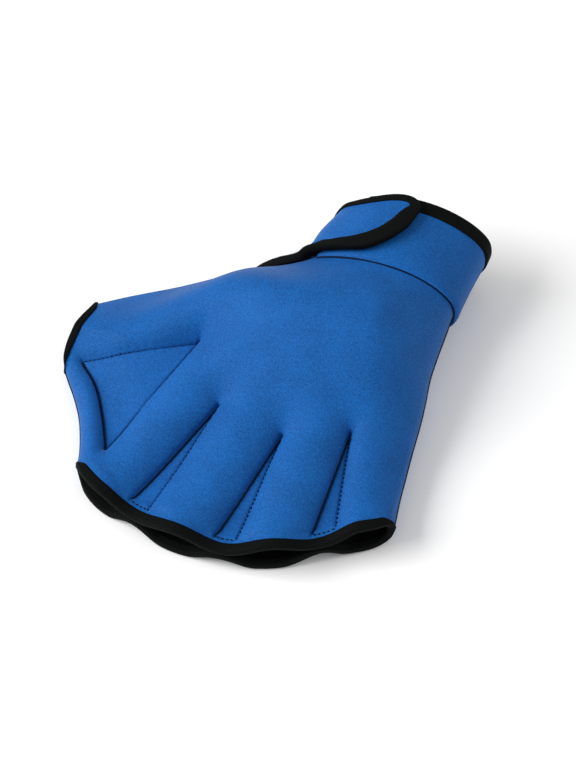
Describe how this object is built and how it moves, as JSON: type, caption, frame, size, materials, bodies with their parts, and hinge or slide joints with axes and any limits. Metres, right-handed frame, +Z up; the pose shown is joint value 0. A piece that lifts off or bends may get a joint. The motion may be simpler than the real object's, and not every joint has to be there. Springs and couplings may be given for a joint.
{
  "type": "webbed swim glove",
  "caption": "Left-hand webbed swim glove of padded cloth with open finger channels, open thumb, bound edges, a short wrist cuff and a tapered closing strap.",
  "frame": {"origin": "on the floor under the palm, in the middle of the flat of the palm panel", "axes": "+Y towards the wrist, -Y towards the fingers, -X towards the thumb, +Z up through the back of the hand"},
  "size_m": [0.1725, 0.1907, 0.053],
  "materials": {
    "blue_knit": "matt knitted facing on foam",
    "black_binding": "matt folded tape",
    "hook_pad": "matt fastener pile"
  },
  "bodies": {
    "root": {"back_panel": "blue_knit", "palm_panel": "blue_knit", "wrist_cuff": "blue_knit", "closure_strap": "blue_knit", "hook_patch": "hook_pad", "finger_binding": "black_binding", "thumb_binding": "black_binding", "wrist_binding": "black_binding", "strap_binding": "black_binding"}
  },
  "joints": []
}
